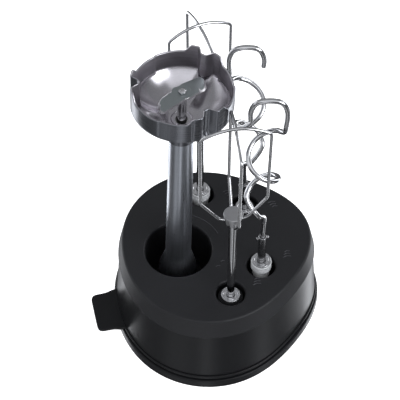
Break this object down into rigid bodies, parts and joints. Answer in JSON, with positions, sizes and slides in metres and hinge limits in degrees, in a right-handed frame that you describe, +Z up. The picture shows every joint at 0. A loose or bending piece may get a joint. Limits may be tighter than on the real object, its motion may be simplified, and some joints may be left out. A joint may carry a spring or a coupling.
{
  "type": "hand mixer attachment stand",
  "caption": "Rounded-egg storage stand with a finger tab, holding a blending stick, wire beaters and spiral dough hooks upright in wells.",
  "frame": {"origin": "middle of the footprint's bounding box, tab included, on the surface that the feet stand on", "axes": "+Z up; +X towards the narrow end of the egg, away from the finger tab; +Y to the rear, away from the viewer of the picture"},
  "size_m": [0.1694, 0.151, 0.2404],
  "materials": {
    "matte_black": "fine moulded texture",
    "satin_black": "satin moulded",
    "light_grey_plastic": "satin moulded",
    "rubber": "matt",
    "brushed_steel": "brushed along the tube and round the bell",
    "bright_steel": "polished"
  },
  "bodies": {
    "tray": {"bottom_tray": "satin_black", "foot_1": "rubber", "foot_2": "rubber", "foot_3": "rubber", "foot_4": "rubber"},
    "stand": {"lower_body": "satin_black", "top_cover": "matte_black", "cover_screw_1": "bright_steel", "cover_screw_2": "bright_steel", "cover_screw_3": "bright_steel", "stick_well": "matte_black", "front_beater_well": "matte_black", "rear_beater_well": "matte_black", "front_hook_well": "matte_black", "rear_hook_well": "matte_black"},
    "stick": {"stick_coupling": "satin_black", "stick_tube": "brushed_steel", "stick_bell": "brushed_steel", "lower_bush": "light_grey_plastic", "upper_bush": "light_grey_plastic", "shaft_seal": "rubber"},
    "knife": {"knife_shaft": "bright_steel", "drive_dog": "satin_black", "knife_blade": "bright_steel", "knife_nut": "bright_steel"},
    "front_beater": {"front_beater_shaft": "bright_steel", "front_beater_collar": "satin_black", "front_beater_washer": "bright_steel", "front_beater_hub": "bright_steel", "front_beater_frame_a": "bright_steel", "front_beater_frame_b": "bright_steel"},
    "front_hook": {"front_hook_wire": "bright_steel", "front_hook_sleeve": "brushed_steel", "front_hook_collar": "light_grey_plastic", "front_hook_washer": "bright_steel"},
    "rear_beater": {"rear_beater_shaft": "bright_steel", "rear_beater_collar": "light_grey_plastic", "rear_beater_washer": "bright_steel", "rear_beater_hub": "bright_steel", "rear_beater_frame_a": "bright_steel", "rear_beater_frame_b": "bright_steel"},
    "rear_hook": {"rear_hook_wire": "bright_steel", "rear_hook_sleeve": "brushed_steel", "rear_hook_collar": "satin_black", "rear_hook_washer": "bright_steel"}
  },
  "joints": [
    {"name": "stand_lift", "type": "slide", "parent": "tray", "child": "stand", "axis": [0, 0, 1], "range_m": [0, 0.04]},
    {"name": "stick_lift", "type": "slide", "parent": "stand", "child": "stick", "axis": [0, 0, 1], "range_m": [0, 0.06]},
    {"name": "knife_spin", "type": "hinge", "parent": "stick", "child": "knife", "pos_m": [-0.02066, 0, 0.0715], "axis": [0.0288, -0.0069, 0.9996], "continuous": true},
    {"name": "front_beater_lift", "type": "slide", "parent": "stand", "child": "front_beater", "axis": [0, 0, 1], "range_m": [0, 0.06]},
    {"name": "rear_beater_lift", "type": "slide", "parent": "stand", "child": "rear_beater", "axis": [0, 0, 1], "range_m": [0, 0.06]},
    {"name": "front_hook_lift", "type": "slide", "parent": "stand", "child": "front_hook", "axis": [0, 0, 1], "range_m": [0, 0.06]},
    {"name": "rear_hook_lift", "type": "slide", "parent": "stand", "child": "rear_hook", "axis": [0, 0, 1], "range_m": [0, 0.06]}
  ]
}
